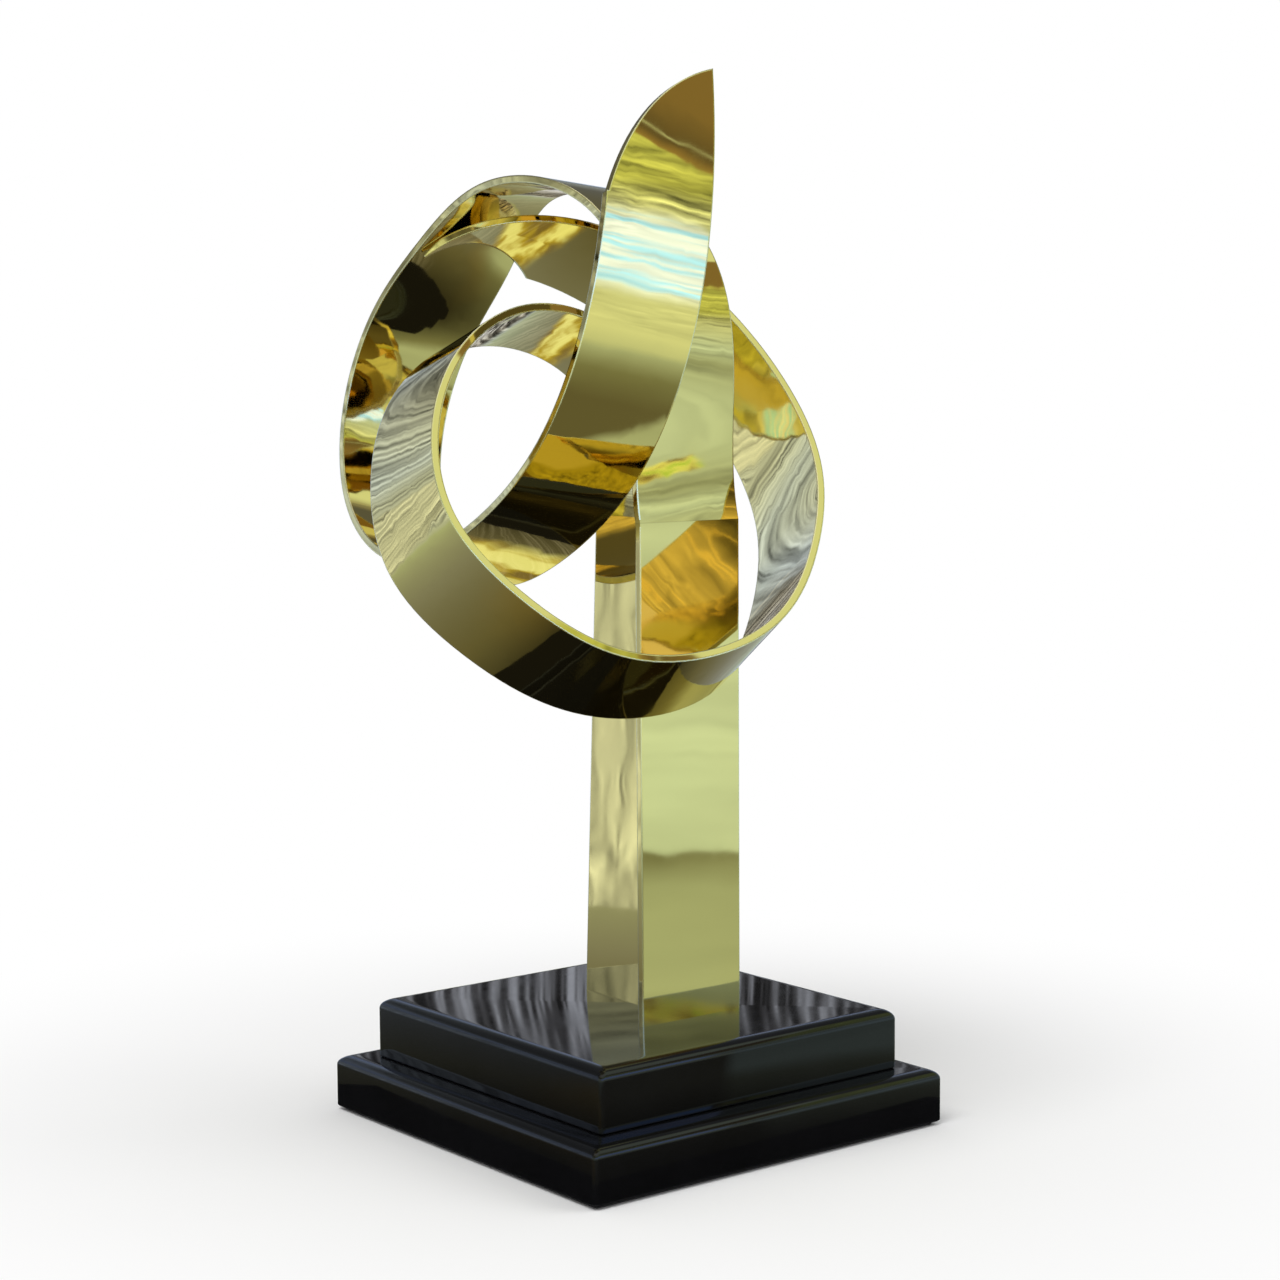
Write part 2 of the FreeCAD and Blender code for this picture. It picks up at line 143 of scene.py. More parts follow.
# look of the felt
FELT_DARK = (0.012, 0.012, 0.014)
FELT_PALE = (0.05, 0.05, 0.055)
FIBRE_STRETCH = (900.0, 2400.0, 900.0)
TUFT_SCALE = 180.0
FELT_ROUGHNESS = 0.95
FELT_SHEEN = 0.3
FELT_BUMP = 0.6
FELT_BUMP_DEPTH = 0.0004

# look of the plated steel
STEEL_DARK = (0.42, 0.42, 0.44)
STEEL_PALE = (0.62, 0.62, 0.60)
SPANGLE_SCALE = 260.0
SPANGLES = (0.3, 0.7)
STEEL_ROUGHNESS = (0.28, 0.45)
STEEL_BUMP = 0.2
STEEL_BUMP_DEPTH = 0.0002

# bowl that only reflections see, glowing with painted colours for the metal to mirror: a round ground and an
# upright wall, with painted shade under the sculpture
BOWL_RADIUS = 0.86
BOWL_HEIGHT = 2.20
BOWL_SIDES = 128
BOWL_FLOOR = 0.0005
# half side of the square of painted shade under the plinth
SHADE_SQUARE = 0.128

# colours on the bowl
AMBER = (0.26, 0.20, 0.06)
OLIVE = (0.14, 0.14, 0.09)
MOSS = (0.22, 0.25, 0.17)
SAGE = (0.46, 0.58, 0.52)
CREAM = (0.80, 0.95, 0.75)
PALE_GREEN = (0.70, 0.93, 1.00)
GREY_GREEN = (0.36, 0.43, 0.42)
MINT = (0.60, 1.35, 3.20)
MILK = (1.15, 1.48, 2.60)
SHADOW = (0.04, 0.04, 0.025)
# near black: the painted shade under the plinth, and the low end of the mint mask
NEAR_BLACK = (0.010, 0.010, 0.010)
COAL = (0.03, 0.03, 0.03)
ASH = (0.16, 0.16, 0.17)
WHITE = (1.0, 1.0, 1.0)
GRASS = (0.60, 0.70, 0.24)
BARK = (0.15, 0.12, 0.06)
RAFTER = (0.34, 0.24, 0.09)
RIDGE = (0.26, 0.19, 0.08)
STONE = (0.25, 0.28, 0.30)
SILVER = (0.55, 0.67, 0.88)
BRIGHT_SILVER = (0.62, 0.80, 1.30)
BLUE_SILVER = (0.60, 0.70, 0.82)
PALE_SILVER = (0.80, 0.83, 0.92)
SLATE = (0.12, 0.13, 0.14)
HONEY = (0.86, 0.82, 0.50)
GOLD = (0.60, 0.50, 0.05)
SUNLIGHT = (1.1, 1.2, 0.6)
VEIN = (1.5, 1.3, 0.6)
DARK_LEAF = (0.16, 0.11, 0.03)
DRY_LEAF = (0.60, 0.54, 0.20)
LIT_LEAF = (1.1, 1.2, 0.45)
GREEN_LEAF = (0.5, 0.8, 0.12)

# patterns on the bowl: how much each noise is stretched along X, Y and Z
UPRIGHT_STRETCH = (150.0, 150.0, 0.0)
UPRIGHT_RISE = 5.0
LYING_STRETCH = (2.5, 2.5, 130.0)
BROAD_STRETCH = (3.0, 3.0, 46.0)
BLADES_STRETCH = (13.0, 13.0, 46.0)
PATCHES_STRETCH = (14.0, 14.0, 10.0)
LEAVES_SCALE = 34.0
STREAK_SPAN = (0.33, 0.67)
NOISE_MIDDLE = 0.5

# waver of the bowl's bands, growing with the distance from the middle
WAVER_SCALE = 5.0
WAVER_SHARE = 0.07

# level direction square to what the front leg mirrors, and where along it the meadow begins
VIEW_SIDE_ANGLE = math.radians(38.0)
VIEW_SIDE = (math.cos(VIEW_SIDE_ANGLE), math.sin(VIEW_SIDE_ANGLE), 0.0)
MEADOW_START = (-0.062, -0.052)

# A ground or wall has its colours by the distance from the middle, or by the height.
# A pattern has its colours by the noise or place that it follows.
# A band has the values where it begins and ends, and the fading distance outside them.
# Levels are what the darkest and the lightest streak make of the colour.
# A sector has its azimuth in degrees, and the cosines off it where it begins and is whole.

# garden, with a meadow on one side and foliage on the other
GARDEN_TOP = [(0.50, CREAM), (0.57, GRASS), (0.86, GRASS)]
MEADOW_GROUND = [
    (0.13, SHADOW), (0.22, MOSS), (0.27, SAGE), (0.54, SAGE), (0.650, MOSS), (0.658, PALE_GREEN),
]
MEADOW_WALL = [(0.20, PALE_GREEN), (0.30, SAGE), (0.36, PALE_GREEN), *GARDEN_TOP]
MEADOW_LEVELS = (0.84, 1.10)
MEADOW_BLADE_LEVELS = (0.55, 1.20)
MEADOW_BLADE_BAND = (0.29, 0.55, 0.03)
FOLIAGE_GROUND = [(0.13, SHADOW), (0.24, OLIVE), (0.42, OLIVE), (0.60, MOSS), (0.78, SAGE)]
FOLIAGE_WALL = [(0.06, CREAM), (0.20, CREAM), (0.27, MILK), (0.44, MILK), *GARDEN_TOP]
MINT_PATTERN = [(0.47, NEAR_BLACK), (0.56, WHITE)]
MINT_BAND = (0.25, 0.45, 0.03)
FOLIAGE_LEVELS = (0.72, 1.20)
FOLIAGE_BAND = (0.10, 0.55, 0.04)
HIGH_LEVELS = (0.30, 1.55)
HIGH_BAND = (0.50, 0.90, 0.04)
LEAF_PATTERN = [(0.40, DARK_LEAF), (0.47, DRY_LEAF), (0.53, LIT_LEAF), (0.60, GREEN_LEAF)]
LEAF_SIDE_BAND = (-0.075, 0.045, 0.004)
LEAF_HEIGHT_BAND = (0.224, 0.256, 0.004)
SKY_BAND = (0.98, BOWL_HEIGHT, 0.04)

# roof over the garden, whose eaves slope along the view's side
EAVES_SLOPE = 3.0
ROOF_SCALE = 0.5
ROOF_PATTERN = [(0.322, RAFTER), (0.352, BARK), (0.366, BARK), (0.370, CREAM), (0.374, BARK), (0.50, RIDGE)]
ROOF_EAVES_BAND = (0.64, 3.00, 0.008)
ROOF_HEIGHT_BAND = (0.58, 0.98, 0.01)
ROOF_SLANT_BAND = (-3.00, -0.50, 0.02)

# timber, on the side that the side leg mirrors
TIMBER_GROUND = [(0.13, SHADOW), (0.20, OLIVE), (0.38, STONE), (0.60, GREY_GREEN), (0.80, SAGE)]
TIMBER_WALL = [
    (0.04, SILVER), (0.30, SILVER), (0.38, BRIGHT_SILVER), (0.46, SILVER), (0.56, STONE), (0.72, SLATE),
]
SIDE_LEG_SECTOR = (122.0, 0.982, 0.987)
SIDE_LEG_BAND = (0.56, BOWL_RADIUS + 0.26, 0.01)
UPRIGHT_LEVELS = (0.30, 1.90)
UPRIGHT_BAND = (0.02, 0.26, 0.01)
LYING_LEVELS = (0.05, 1.65)
LYING_BAND = (0.30, 0.62, 0.04)
GOLD_SECTOR = (62.0, 0.96, 0.99)
GOLD_BAND = (0.22, 0.42, 0.03)
GOLD_PATTERN = [(0.40, AMBER), (0.50, GOLD), (0.58, SUNLIGHT)]

# hall with bright veins
HALL_GROUND = [(0.13, SHADOW), (0.24, AMBER), (0.40, MOSS), (0.80, SAGE)]
HALL_WALL = [(0.10, CREAM), (0.46, CREAM), (0.58, OLIVE), (0.90, OLIVE), (1.15, HONEY), (2.00, HONEY)]
HALL_LEVELS = (0.45, 1.35)
HALL_BAND = (0.05, BOWL_HEIGHT, 0.03)
VEIN_SCALE = 3.2
VEIN_WIDTH = 0.014
VEIN_SHARE = 0.6
VEIN_BAND = (0.90, BOWL_HEIGHT, 0.10)

# where the garden, the timber and the shade stand
GARDEN_SECTOR = (-70.0, 0.20, 0.45)
TIMBER_SECTOR = (80.0, 0.0, 0.35)
SHADE_SECTOR = (50.0, 0.90, 0.97)
SHADE_BAND = (0.05, 0.34, 0.06)
SHADE_PATTERN = [(0.38, COAL), (0.50, ASH), (0.64, PALE_SILVER)]


class Tree:
    """Short calls for making a material's or the world's nodes."""

    def __init__(self, tree):
        self.tree = tree
        tree.nodes.clear()

    def add(self, kind, inputs=None, **settings):
        node = self.tree.nodes.new(kind)
        for name, value in settings.items():
            setattr(node, name, value)
        for name, value in (inputs or {}).items():
            socket = node.inputs[name]
            if isinstance(value, bpy.types.NodeSocket):
                self.tree.links.new(value, socket)
            else:
                socket.default_value = value
        return node

    def math(self, operation, first, second=0.0, clamp=False):
        node = self.add("ShaderNodeMath", {0: first, 1: second}, operation=operation, use_clamp=clamp)
        return node.outputs[0]

    def vector_math(self, operation, *vectors):
        inputs = dict(enumerate(vectors))
        return self.add("ShaderNodeVectorMath", inputs, operation=operation).outputs

    def split(self, vector):
        return self.add("ShaderNodeSeparateXYZ", {"Vector": vector}).outputs

    def spread(self, value, start, end, low=0.0, high=1.0, smooth=False):
        """From low to high as the value goes from start to end, and no further."""
        kind = "SMOOTHSTEP" if smooth else "LINEAR"
        inputs = {"Value": value, "From Min": start, "From Max": end, "To Min": low, "To Max": high}
        return self.add("ShaderNodeMapRange", inputs, interpolation_type=kind).outputs["Result"]

    def ramp(self, factor, stops):
        node = self.add("ShaderNodeValToRGB", {"Fac": factor})
        elements = node.color_ramp.elements
        while len(elements) < len(stops):
            elements.new(1.0)
        for element, (place, colour) in zip(elements, stops):
            element.position = place
            element.color = (*colour, 1.0)
        return node.outputs["Color"]

    def mix(self, factor, first, second):
        node = self.add("ShaderNodeMix", data_type="RGBA")
        for socket, value in ((node.inputs[0], factor), (node.inputs[6], first), (node.inputs[7], second)):
            if isinstance(value, bpy.types.NodeSocket):
                self.tree.links.new(value, socket)
            elif isinstance(value, tuple):
                socket.default_value = (*value, 1.0)
            else:
                socket.default_value = value
        return node.outputs[2]

    def noise(self, vector, scale=1.0, detail=4.0, roughness=0.5, distortion=0.0):
        node = self.add("ShaderNodeTexNoise", {
            "Vector": vector, "Scale": scale, "Detail": detail,
            "Roughness": roughness, "Distortion": distortion,
        })
        return node.outputs["Fac"]

    def stretched(self, vector, scale):
        node = self.add("ShaderNodeMapping", {"Vector": vector, "Scale": scale})
        return node.outputs["Vector"]

    def object_place(self):
        return self.add("ShaderNodeTexCoord").outputs["Object"]

    def bump(self, strength, depth, height, **more):
        inputs = {"Strength": strength, "Distance": depth, "Height": height, **more}
        return self.add("ShaderNodeBump", inputs).outputs["Normal"]

    def finish(self, surface, kind="ShaderNodeOutputMaterial"):
        self.add(kind, {"Surface": surface})

    def finish_principled(self, inputs):
        self.finish(self.add("ShaderNodeBsdfPrincipled", inputs).outputs["BSDF"])


def new_material(name, kind=Tree):
    """A material and the calls for making its nodes."""
    material = bpy.data.materials.new(name)
    material.use_nodes = True
    return material, kind(material.node_tree)


def new_object(name, data):
    """An object of that data in the scene."""
    made = bpy.data.objects.new(name, data)
    bpy.context.collection.objects.link(made)
    return made


def edge_mask(tree):
    """One along the sharp edges of the piece and nought on its flats, and the softened normal."""
    bevel = tree.add("ShaderNodeBevel", {"Radius": EDGE_RADIUS}, samples=EDGE_SAMPLES)
    geometry = tree.add("ShaderNodeNewGeometry")
    facing = tree.vector_math("DOT_PRODUCT", bevel.outputs["Normal"], geometry.outputs["True Normal"])
    return tree.spread(facing["Value"], *EDGE_FACING), bevel.outputs["Normal"]


def joint_masks(tree, place):
    """One on the line of the soldered joints, and one on the narrow zone round it."""
    split = tree.split(place)
    offset = tree.math("ABSOLUTE", tree.math("SUBTRACT", split["Z"], JOINT_HEIGHT))
    on_leg = tree.math("LESS_THAN", tree.math("ABSOLUTE", split["X"]), LEG_REACH)
    line = tree.math("MULTIPLY", tree.math("LESS_THAN", offset, JOINT_LINE), on_leg)
    zone = tree.math("MULTIPLY", tree.math("LESS_THAN", offset, JOINT_REACH), on_leg)
    return line, zone


def make_brass():
    """Mirror-polished brass: faint waves and polishing marks, satin edges painted paler as a highlight, a
    line at the joints.
    """
    material, tree = new_material("brass_polished")
    place = tree.object_place()
    edges, soft_normal = edge_mask(tree)
    joint, near_joint = joint_masks(tree, place)
    edges = tree.math("MULTIPLY", edges, tree.math("SUBTRACT", 1.0, near_joint))
    soft_normal = tree.mix(near_joint, soft_normal, tree.add("ShaderNodeNewGeometry").outputs["Normal"])
    colour = tree.mix(tree.noise(place, TINT_SCALE, detail=3.0), BRASS_PALE, BRASS_DEEP)
    # painted highlight: the edges are painted a pale cream colour
    colour = tree.mix(edges, colour, BRASS_EDGE_HIGHLIGHT)
    colour = tree.mix(tree.math("MULTIPLY", joint, JOINT_SHARE), colour, BRASS_JOINT)
    smudges = tree.noise(place, SMUDGE_SCALE, detail=6.0, roughness=0.6)
    roughness = tree.math("ADD", tree.spread(smudges, *SMUDGES, *BRASS_ROUGHNESS),
                          tree.math("MULTIPLY", edges, EDGE_ROUGHNESS))
    waves = tree.noise(place, WAVE_SCALE, detail=2.0)
    marks = tree.noise(tree.stretched(place, MARK_STRETCH), detail=2.0)
    relief = tree.math("ADD", waves, tree.math("MULTIPLY", marks, MARK_HEIGHT))
    tree.finish_principled({
        "Base Color": colour, "Metallic": 1.0, "Roughness": roughness,
        "Normal": tree.bump(BRASS_BUMP, BRASS_BUMP_DEPTH, relief, Normal=soft_normal),
    })
    return material


def make_lacquer():
    """Gloss black lacquer over wood: faint grain, dust and rub marks, softened corners with a painted
    highlight along the edges.
    """
    material, tree = new_material("black_lacquer_gloss")
    place = tree.object_place()
    edges, soft_normal = edge_mask(tree)
    cloud = tree.noise(place, CLOUD_SCALE, detail=8.0, roughness=0.65)
    grain = tree.noise(tree.stretched(place, GRAIN_STRETCH), detail=4.0)
    colour = tree.mix(cloud, LACQUER_DARK, LACQUER_DUST)
    # painted highlight: the edges are painted lighter
    colour = tree.mix(tree.math("MULTIPLY", edges, LACQUER_HIGHLIGHT_SHARE), colour, LACQUER_EDGE_HIGHLIGHT)
    relief = tree.math("ADD", tree.math("MULTIPLY", cloud, CLOUD_HEIGHT),
                       tree.math("MULTIPLY", grain, GRAIN_HEIGHT))
    tree.finish_principled({
        "Base Color": colour, "Roughness": tree.spread(cloud, *CLOUDS, *LACQUER_ROUGHNESS),
        "Specular IOR Level": LACQUER_SPECULAR,
        "Normal": tree.bump(LACQUER_BUMP, LACQUER_BUMP_DEPTH, relief, Normal=soft_normal),
    })
    return material


def make_felt():
    """Dark matt felt with short tangled fibres."""
    material, tree = new_material("felt_dark")
    place = tree.object_place()
    fibres = tree.noise(tree.stretched(place, FIBRE_STRETCH), detail=6.0, roughness=0.7)
    tufts = tree.noise(place, TUFT_SCALE, detail=5.0)
    tree.finish_principled({
        "Base Color": tree.mix(fibres, FELT_DARK, FELT_PALE), "Roughness": FELT_ROUGHNESS,
        "Sheen Weight": FELT_SHEEN,
        "Normal": tree.bump(FELT_BUMP, FELT_BUMP_DEPTH, tree.math("ADD", fibres, tufts)),
    })
    return material


def make_steel():
    """Plain zinc-plated steel for the hidden cleats, bolts, nuts and screws."""
    material, tree = new_material("steel_plated")
    spangle = tree.noise(tree.object_place(), SPANGLE_SCALE, detail=4.0)
    tree.finish_principled({
        "Base Color": tree.mix(spangle, STEEL_DARK, STEEL_PALE), "Metallic": 1.0,
        "Roughness": tree.spread(spangle, *SPANGLES, *STEEL_ROUGHNESS),
        "Normal": tree.bump(STEEL_BUMP, STEEL_BUMP_DEPTH, spangle),
    })
    return material


def dress(nodes, material):
    """Give the material to each of the CAD nodes."""
    for name in nodes:
        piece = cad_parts[name]
        piece.data.materials.clear()
        piece.data.materials.append(material)


def blade_places(mesh):
    """Places of the mesh's points on the blade and the loop's rise to it, found from the tip down."""
    places = [tuple(point.co) for point in mesh.vertices]
    neighbours = {place: set() for place in places}
    for edge in mesh.edges:
        first, second = edge.vertices
        neighbours[places[first]].add(places[second])
        neighbours[places[second]].add(places[first])
    tip = max(places, key=lambda place: place[2])
    found = {tip}
    waiting = [tip]
    while waiting:
        for place in neighbours[waiting.pop()]:
            if place not in found and place[2] - place[1] > SHIFT_START:
                found.add(place)
                waiting.append(place)
    return found


def blade_part(place):
    """Nought where the blade's shift starts and one where it is whole."""
    return min((place.dot(SHIFT_CLIMB) - SHIFT_START) / (SHIFT_WHOLE - SHIFT_START), 1.0)


def blade_shift(place):
    """Share of its way to the camera that a point of the blade moves, eased in and out."""
    part = blade_part(place)
    return BLADE_SHIFT * part * part * (3.0 - 2.0 * part)


def shifted_normal(normal, place):
    """The normal after its point and those round it have moved."""
    part = blade_part(place)
    slope = SHIFT_CLIMB * (BLADE_SHIFT * 6.0 * part * (1.0 - part) / (SHIFT_WHOLE - SHIFT_START))
    to_camera = CAMERA_PLACE - place
    turned = normal - slope * (to_camera.dot(normal) / (1.0 - blade_shift(place) + slope.dot(to_camera)))
    return turned.normalized()


def make_clear_loop(material):
    """The front loop with its blade passing in front of the front bar, as in the photograph."""
    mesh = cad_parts["front_loop"].data.copy()
    mesh.name = "front_loop_clear"
    on_blade = blade_places(mesh)
    normals = [corner.vector.copy() for corner in mesh.corner_normals]
    for corner in mesh.loops:
        place = mesh.vertices[corner.vertex_index].co
        if tuple(place) in on_blade:
            normals[corner.index] = shifted_normal(normals[corner.index], place)
    for point in mesh.vertices:
        if tuple(point.co) in on_blade:
            point.co = point.co.lerp(CAMERA_PLACE, blade_shift(point.co))
    mesh.normals_split_custom_set(normals)
    mesh.materials.clear()
    mesh.materials.append(material)
    loop = new_object("front_loop_clear", mesh)
    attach(loop, "root")
    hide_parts("front_loop")


def rounded_square(half, height):
    """Points of a square outline with rounded corners."""
    points = []
    centre = half - CORNER_RADIUS
    for corner in range(4):
        middle = QUARTER_TURN * (corner + 0.5)
        for step in range(CORNER_POINTS + 1):
            angle = QUARTER_TURN * (corner + step / CORNER_POINTS)
            x = centre * math.copysign(1.0, math.cos(middle)) + CORNER_RADIUS * math.cos(angle)
            y = centre * math.copysign(1.0, math.sin(middle)) + CORNER_RADIUS * math.sin(angle)
            points.append((x, y, height))
    return points


def step_profile(node):
    """Half width and height of a step's outlines, from its foot to its top."""
    low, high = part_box(node)
    half = high[0]
    width, drop = TOP_ROUNDING[node]
    profile = [(half - FOOT_ROUNDING, low[2]), (half, low[2] + FOOT_ROUNDING)]
    for step in range(ROUNDING_POINTS + 1):
        angle = QUARTER_TURN * step / ROUNDING_POINTS
        profile.append((half - width + width * math.cos(angle), high[2] - drop + drop * math.sin(angle)))
    return profile


def bands_between(rings, count):
    """Faces that join neighbouring rings of points, each ring with the same count."""
    faces = []
    for ring in range(rings - 1):
        for side in range(count):
            after = (side + 1) % count
            below, above = ring * count, (ring + 1) * count
            faces.append((below + side, below + after, above + after, above + side))
    return faces


def make_rounded_step(node, material):
    """A plinth step with rounded edges, a closed block, in place of the crisp one."""
    outlines = [rounded_square(half, height) for half, height in step_profile(node)]
    count = len(outlines[0])
    points = sum(outlines, [])
    foot = tuple(reversed(range(count)))
    top = tuple(range(len(points) - count, len(points)))
    mesh = bpy.data.meshes.new(node + "_rounded")
    mesh.from_pydata(points, [], [foot, *bands_between(len(outlines), count), top])
    for face in mesh.polygons:
        face.use_smooth = len(face.vertices) == 4
    step_piece = new_object(node + "_rounded", mesh)
    mesh.materials.append(material)
    mesh.set_sharp_from_angle(angle=SHARP_ANGLE)
    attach(step_piece, "root")
    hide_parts(node)


def seen_directly(tree):
    """One for camera, glossy and transmission rays."""
    rays = tree.add("ShaderNodeLightPath").outputs
    seen = tree.math("ADD", rays["Is Camera Ray"], rays["Is Glossy Ray"])
    return tree.math("ADD", seen, rays["Is Transmission Ray"], clamp=True)


def make_world():
    """A plain white world, weaker as light than as seen."""
    world = bpy.data.worlds.new("soft_world")
    world.use_nodes = True
    tree = Tree(world.node_tree)
    strength = tree.spread(seen_directly(tree), 0.0, 1.0, LIGHT_SHARE, 1.0)
    white = tree.add("ShaderNodeBackground", {"Color": (*WHITE, 1.0), "Strength": strength})
    tree.finish(white.outputs["Background"], "ShaderNodeOutputWorld")
    bpy.context.scene.world = world


def make_floor():
    """A pale floor that takes the shadow near the plinth and turns to plain white further off."""
    bpy.ops.mesh.primitive_circle_add(vertices=FLOOR_SIDES, radius=FLOOR_RADIUS, fill_type="NGON")
    floor = bpy.context.object
    floor.name = "floor"
    material, tree = new_material("floor_white")
    distance = tree.vector_math("LENGTH", tree.object_place())["Value"]
    far = tree.spread(distance, FLOOR_NEAR, FLOOR_FAR, smooth=True)
    near_shader = tree.add("ShaderNodeBsdfDiffuse", {"Color": (FLOOR_GREY, FLOOR_GREY, FLOOR_GREY, 1.0)})
    strength = tree.math("MAXIMUM", seen_directly(tree), LIGHT_SHARE)
    far_shader = tree.add("ShaderNodeEmission", {"Color": (*WHITE, 1.0), "Strength": strength})
    mixed = tree.add("ShaderNodeMixShader", {
        0: far, 1: near_shader.outputs["BSDF"], 2: far_shader.outputs["Emission"],
    })
    tree.finish(mixed.outputs["Shader"])
    floor.data.materials.append(material)


class BowlTree(Tree):
    """Nodes of the mirrored bowl, with the places and patterns that its colours go by."""

    def __init__(self, tree):
        super().__init__(tree)
        self.place = self.object_place()
        split = self.split(self.place)
        level = self.add("ShaderNodeCombineXYZ", {"X": split["X"], "Y": split["Y"]}).outputs["Vector"]
        self.flat = self.vector_math("NORMALIZE", level)["Vector"]
        self.reach = self.vector_math("LENGTH", level)["Value"]
        self.height = split["Z"]
        self.aside = self.vector_math("DOT_PRODUCT", self.place, VIEW_SIDE)["Value"]
        waver = self.math("SUBTRACT", self.noise(self.place, WAVER_SCALE, detail=3.0), NOISE_MIDDLE)
        waver = self.math("MULTIPLY", waver, self.math("MULTIPLY", self.reach, WAVER_SHARE))
        self.along = self.math("ADD", self.math("ADD", self.reach, self.height), waver)
        self.upright = self.upright_streaks()
        self.lying = self.pattern(LYING_STRETCH, roughness=0.65, distortion=0.12)
        self.broad = self.pattern(BROAD_STRETCH, distortion=0.4)
        self.blades = self.pattern(BLADES_STRETCH, detail=6.0, roughness=0.65, distortion=0.6)
        self.patches = self.pattern(PATCHES_STRETCH, distortion=0.5)
        self.leaves = self.noise(self.place, LEAVES_SCALE, detail=4.0, roughness=0.6, distortion=0.6)

    def pattern(self, stretch, detail=5.0, **settings):
        return self.noise(self.stretched(self.place, stretch), detail=detail, **settings)

    def upright_streaks(self):
        """Streaks that run up the wall and outward on the ground."""
        rise = self.math("MULTIPLY", self.along, UPRIGHT_RISE)
        rise = self.add("ShaderNodeCombineXYZ", {"Z": rise}).outputs["Vector"]
        place = self.vector_math("ADD", self.stretched(self.flat, UPRIGHT_STRETCH), rise)["Vector"]
        return self.noise(place, detail=3.0)

    def sector(self, azimuth, start, whole):
        """One on the side of the bowl at that azimuth, nought on the other sides."""
        aim = (math.cos(math.radians(azimuth)), math.sin(math.radians(azimuth)), 0.0)
        facing = self.vector_math("DOT_PRODUCT", self.flat, aim)["Value"]
        return self.spread(facing, start, whole, smooth=True)

    def between(self, value, band):
        """One inside the band, fading to nought outside it."""
        low, high, fade = band
        return self.math("MULTIPLY", self.spread(value, low - fade, low),
                         self.spread(value, high + fade, high))

    def both(self, first, second):
        """One where both are one, nought where either is nought."""
        return self.math("MULTIPLY", first, second)

    def along_bowl(self, ground, wall):
        """Colours by the distance along the ground, then by the height up the wall."""
        length = BOWL_RADIUS + BOWL_HEIGHT
        stops = [(distance / length, colour) for distance, colour in ground]
        stops += [((BOWL_RADIUS + height) / length, colour) for height, colour in wall]
        return self.ramp(self.math("DIVIDE", self.along, length), stops)

    def streaked(self, colour, streaks, levels, amount=1.0):
        """The colour darkened and lightened by a streak pattern."""
        level = self.spread(streaks, *STREAK_SPAN, *levels)
        level = self.math("ADD", self.math("MULTIPLY", self.math("SUBTRACT", level, 1.0), amount), 1.0)
        scaled = self.add("ShaderNodeVectorMath", {0: colour, "Scale": level}, operation="SCALE")
        return scaled.outputs["Vector"]


def garden_colours(bowl):
    """A pale meadow on one side, foliage with mint patches on the other, and strong streaks above."""
    meadow = bowl.along_bowl(MEADOW_GROUND, MEADOW_WALL)
    meadow = bowl.streaked(meadow, bowl.broad, MEADOW_LEVELS)
    meadow = bowl.streaked(meadow, bowl.blades, MEADOW_BLADE_LEVELS,
                           bowl.between(bowl.height, MEADOW_BLADE_BAND))
    foliage = bowl.along_bowl(FOLIAGE_GROUND, FOLIAGE_WALL)
    minty = bowl.both(bowl.ramp(bowl.broad, MINT_PATTERN), bowl.between(bowl.height, MINT_BAND))
    foliage = bowl.mix(minty, foliage, MINT)
    foliage = bowl.streaked(foliage, bowl.blades, FOLIAGE_LEVELS, bowl.between(bowl.height, FOLIAGE_BAND))
    garden = bowl.mix(bowl.spread(bowl.aside, *MEADOW_START), foliage, meadow)
    return bowl.streaked(garden, bowl.blades, HIGH_LEVELS, bowl.between(bowl.height, HIGH_BAND))


def with_leaves_and_sky(bowl, garden):
    """The garden with a strip of leaves low on the wall and a pale sky on top."""
    leafy = bowl.both(bowl.between(bowl.aside, LEAF_SIDE_BAND), bowl.between(bowl.height, LEAF_HEIGHT_BAND))
    garden = bowl.mix(leafy, garden, bowl.ramp(bowl.leaves, LEAF_PATTERN))
    return bowl.mix(bowl.between(bowl.height, SKY_BAND), garden, CREAM)


def with_roof(bowl, garden):
    """The garden under a dark roof with one pale line, its eaves on a slope."""
    eaves = bowl.math("ADD", bowl.height, bowl.math("MULTIPLY", bowl.aside, EAVES_SLOPE))
    under_roof = bowl.ramp(bowl.math("MULTIPLY", eaves, ROOF_SCALE), ROOF_PATTERN)
    slant = bowl.math("SUBTRACT", bowl.aside, bowl.height)
    roof = bowl.both(bowl.between(eaves, ROOF_EAVES_BAND), bowl.between(bowl.height, ROOF_HEIGHT_BAND))
    roof = bowl.both(roof, bowl.between(slant, ROOF_SLANT_BAND))
    return bowl.mix(roof, garden, under_roof)


def timber_colours(bowl):
    """Silvery timber: upright streaks low down, lying ones above, gold patches on the ground."""
    timber = bowl.along_bowl(TIMBER_GROUND, TIMBER_WALL)
    by_side_leg = bowl.both(bowl.sector(*SIDE_LEG_SECTOR), bowl.between(bowl.along, SIDE_LEG_BAND))
    timber = bowl.mix(by_side_leg, timber, BLUE_SILVER)
    upright = bowl.math("MAXIMUM", by_side_leg, bowl.between(bowl.height, UPRIGHT_BAND))
    timber = bowl.streaked(timber, bowl.upright, UPRIGHT_LEVELS, upright)
    timber = bowl.streaked(timber, bowl.lying, LYING_LEVELS, bowl.between(bowl.height, LYING_BAND))
    near_gold = bowl.both(bowl.sector(*GOLD_SECTOR), bowl.between(bowl.reach, GOLD_BAND))
    return bowl.mix(near_gold, timber, bowl.ramp(bowl.patches, GOLD_PATTERN))


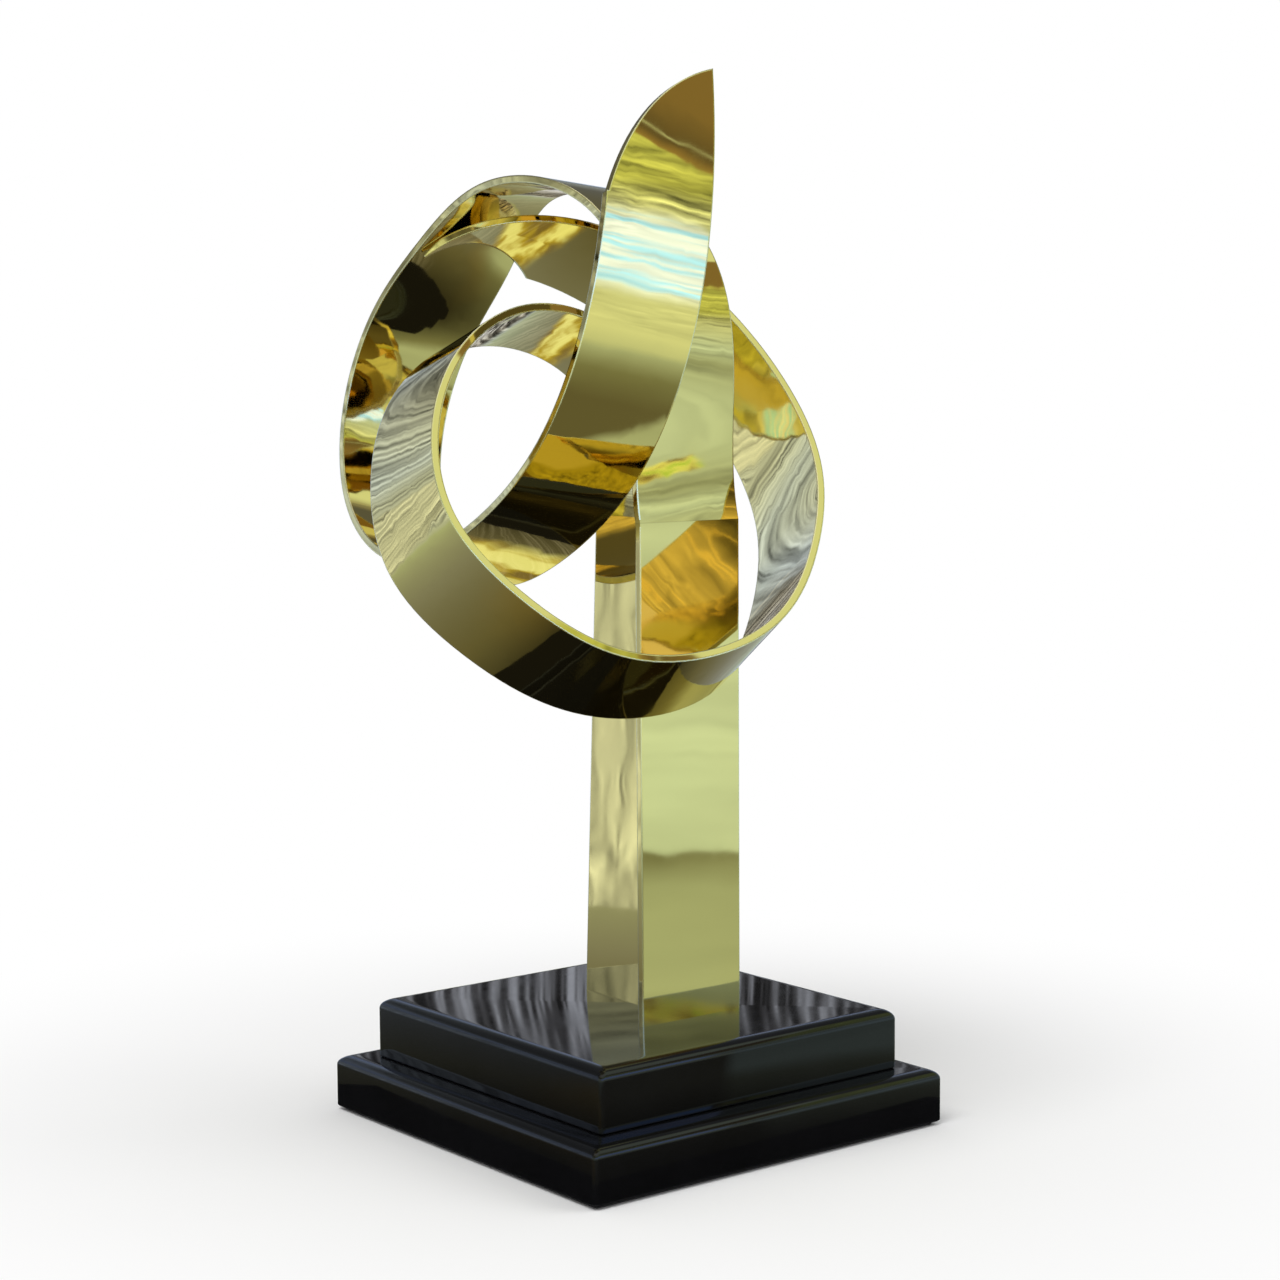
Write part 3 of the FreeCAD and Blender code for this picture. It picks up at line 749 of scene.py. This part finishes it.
def hall_colours(bowl):
    """A patchy hall, cream, olive and honey up the wall, with bright veins high up."""
    hall = bowl.along_bowl(HALL_GROUND, HALL_WALL)
    hall = bowl.streaked(hall, bowl.patches, HALL_LEVELS, bowl.between(bowl.height, HALL_BAND))
    vein = bowl.noise(bowl.place, VEIN_SCALE, detail=2.0, distortion=1.2)
    vein = bowl.math("ABSOLUTE", bowl.math("SUBTRACT", vein, NOISE_MIDDLE))
    vein = bowl.both(bowl.math("LESS_THAN", vein, VEIN_WIDTH), bowl.between(bowl.height, VEIN_BAND))
    return bowl.mix(bowl.math("MULTIPLY", vein, VEIN_SHARE), hall, VEIN)


def bowl_colours(bowl):
    """The hall all round, the garden, timber and shade on their sides, and painted shade under the plinth."""
    garden = with_roof(bowl, with_leaves_and_sky(bowl, garden_colours(bowl)))
    colour = bowl.mix(bowl.sector(*GARDEN_SECTOR), hall_colours(bowl), garden)
    colour = bowl.mix(bowl.sector(*TIMBER_SECTOR), colour, timber_colours(bowl))
    behind = bowl.both(bowl.sector(*SHADE_SECTOR), bowl.between(bowl.height, SHADE_BAND))
    colour = bowl.mix(behind, colour, bowl.ramp(bowl.upright, SHADE_PATTERN))
    split = bowl.split(bowl.place)
    square = bowl.math("MAXIMUM", bowl.math("ABSOLUTE", split["X"]), bowl.math("ABSOLUTE", split["Y"]))
    # painted shade: near black on the square under the plinth
    return bowl.mix(bowl.math("LESS_THAN", square, SHADE_SQUARE), colour, NEAR_BLACK)


def bowl_mesh():
    """A round ground with an upright wall, open at the top."""
    rings = [(0.0, BOWL_FLOOR), (BOWL_RADIUS, BOWL_FLOOR), (BOWL_RADIUS, BOWL_HEIGHT)]
    points = []
    for radius, height in rings:
        for side in range(BOWL_SIDES):
            angle = math.tau * side / BOWL_SIDES
            points.append((radius * math.cos(angle), radius * math.sin(angle), height))
    mesh = bpy.data.meshes.new("mirrored_surroundings")
    mesh.from_pydata(points, [], bands_between(len(rings), BOWL_SIDES))
    return mesh


def make_surroundings():
    """What the polished metal mirrors: a glowing bowl painted with garden, timber, hall and shade, seen only
    in reflections.
    """
    material, bowl_tree = new_material("mirrored_surroundings", BowlTree)
    glow = bowl_tree.add("ShaderNodeEmission", {"Color": bowl_colours(bowl_tree), "Strength": 1.0})
    bowl_tree.finish(glow.outputs["Emission"])
    bowl = new_object("mirrored_surroundings", bowl_mesh())
    bowl.data.materials.append(material)
    bowl.visible_camera = False
    bowl.visible_diffuse = False
    bowl.visible_shadow = False


def area_lamp(name, place, size, power):
    """A square lamp that reflections don't show."""
    data = bpy.data.lights.new(name, "AREA")
    data.shape = "SQUARE"
    data.size = size
    data.energy = power
    lamp = new_object(name, data)
    lamp.location = place
    lamp.rotation_euler = (Vector(LAMP_TARGET) - Vector(place)).to_track_quat("-Z", "Y").to_euler()
    lamp.visible_glossy = False


def make_camera():
    """The photograph's camera."""
    forward = Vector((math.cos(CAMERA_PITCH) * math.cos(CAMERA_YAW),
                      math.cos(CAMERA_PITCH) * math.sin(CAMERA_YAW), math.sin(CAMERA_PITCH)))
    level_right = Vector((math.sin(CAMERA_YAW), -math.cos(CAMERA_YAW), 0.0))
    level_up = level_right.cross(forward)
    right = level_right * math.cos(CAMERA_ROLL) + level_up * math.sin(CAMERA_ROLL)
    up = level_up * math.cos(CAMERA_ROLL) - level_right * math.sin(CAMERA_ROLL)
    data = bpy.data.cameras.new("photo_camera")
    data.lens = CAMERA_LENS
    data.sensor_width = SENSOR_WIDTH
    camera = new_object("photo_camera", data)
    turn = Matrix((right, up, -forward)).transposed().to_4x4()
    camera.matrix_world = Matrix.Translation(CAMERA_PLACE) @ turn
    bpy.context.scene.camera = camera


brass = make_brass()
dress(BRASS_NODES, brass)
make_clear_loop(brass)
lacquer = make_lacquer()
dress(LACQUER_NODES, lacquer)
for step_node in LACQUER_NODES:
    make_rounded_step(step_node, lacquer)
dress(FELT_NODES, make_felt())
dress(STEEL_NODES, make_steel())
make_world()
make_floor()
make_surroundings()
area_lamp("key_lamp", KEY_PLACE, KEY_SIZE, KEY_POWER)
area_lamp("fill_lamp", FILL_PLACE, FILL_SIZE, FILL_POWER)
make_camera()
bpy.context.scene.view_settings.view_transform = "Standard"
